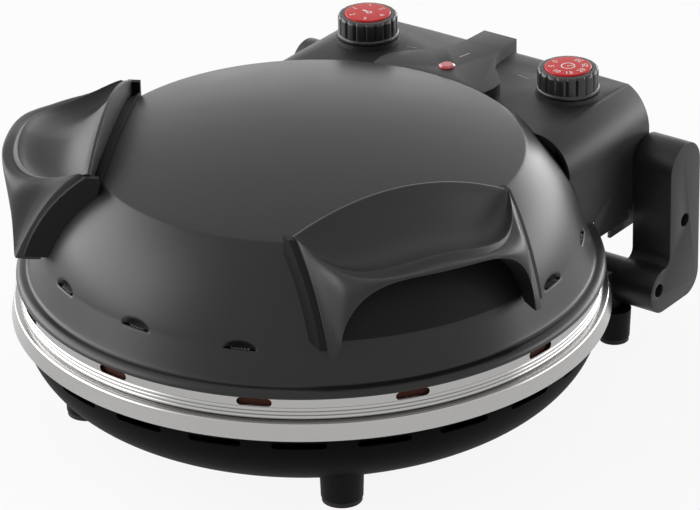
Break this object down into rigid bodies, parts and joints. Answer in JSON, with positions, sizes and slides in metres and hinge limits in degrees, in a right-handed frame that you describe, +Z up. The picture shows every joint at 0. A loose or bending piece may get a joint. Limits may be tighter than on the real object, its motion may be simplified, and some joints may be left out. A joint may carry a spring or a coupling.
{
  "type": "electric pizza maker",
  "caption": "Electric pizza maker: a round stone-floored base with a hinged domed lid, side grips and a rear control console.",
  "frame": {"origin": "on the table, at the middle of the footprint of the whole part", "axes": "+Z up; -Y is the front, where the user stands; +X to the user's right; the hinge is at +Y"},
  "size_m": [0.356, 0.389, 0.1825],
  "materials": {
    "black_enamel": "satin black enamel",
    "steel_ring": "brushed along the ring",
    "reflector_sheet": "plain rolled sheet",
    "steel_fastener": "bright zinc-plated",
    "heater_sheath": "dark oxidised sheath",
    "refractory_stone": "unglazed refractory stone",
    "black_plastic": "fine-textured black",
    "saddle_plastic": "smooth dark black",
    "rubber_pad": "matte",
    "hinge_steel": "bright plated",
    "ceramic": "off-white ceramic",
    "unit_case": "plain grey",
    "red_lens": "translucent red",
    "knob_black": "semi-gloss black",
    "dial_red": "glossy red with plain white numbers"
  },
  "bodies": {
    "base": {"lower_shell": "black_enamel", "base_ring": "steel_ring", "lower_reflector": "reflector_sheet", "pan_spacers": "steel_fastener", "lower_heater": "heater_sheath", "lower_heater_clips": "steel_fastener", "refractory_stone": "refractory_stone", "front_feet": "black_plastic", "rear_feet": "black_plastic", "foot_pads": "rubber_pad", "hinge_block_left": "black_plastic", "hinge_block_right": "black_plastic", "arm_left": "black_plastic", "arm_right": "black_plastic", "arm_screws": "steel_fastener", "hinge_pins": "steel_fastener"},
    "lid": {"lid_shell": "black_enamel", "lid_ring": "steel_ring", "lid_reflector": "reflector_sheet", "upper_heater": "heater_sheath", "upper_heater_clips": "steel_fastener", "handle_left": "black_plastic", "handle_right": "black_plastic", "handle_base_left": "saddle_plastic", "handle_base_right": "saddle_plastic", "handle_screws": "steel_fastener", "console_housing": "black_plastic", "console_base": "black_plastic", "console_screws": "steel_fastener", "hinge_bracket_left": "hinge_steel", "hinge_bracket_right": "hinge_steel", "thermostat_unit": "ceramic", "timer_unit": "unit_case", "lamp_holder": "ceramic", "indicator_lens": "red_lens", "terminal_block": "ceramic", "cord_inlet": "black_plastic"},
    "thermostat_dial": {"thermostat_knob": "knob_black", "thermostat_disc": "dial_red", "thermostat_shaft": "steel_fastener"},
    "timer_dial": {"timer_knob": "knob_black", "timer_disc": "dial_red", "timer_shaft": "steel_fastener"}
  },
  "joints": [
    {"name": "lid_hinge", "type": "hinge", "parent": "base", "child": "lid", "pos_m": [0, 0.1729, 0.0741], "axis": [-1, 0, 0], "range_deg": [0, 100]},
    {"name": "thermostat_turn", "type": "hinge", "parent": "lid", "child": "thermostat_dial", "pos_m": [-0.074, 0.1465, 0.16], "axis": [0, 0, -1], "range_deg": [0, 270]},
    {"name": "timer_turn", "type": "hinge", "parent": "lid", "child": "timer_dial", "pos_m": [0.074, 0.1465, 0.16], "axis": [0, 0, -1], "range_deg": [0, 300]}
  ]
}
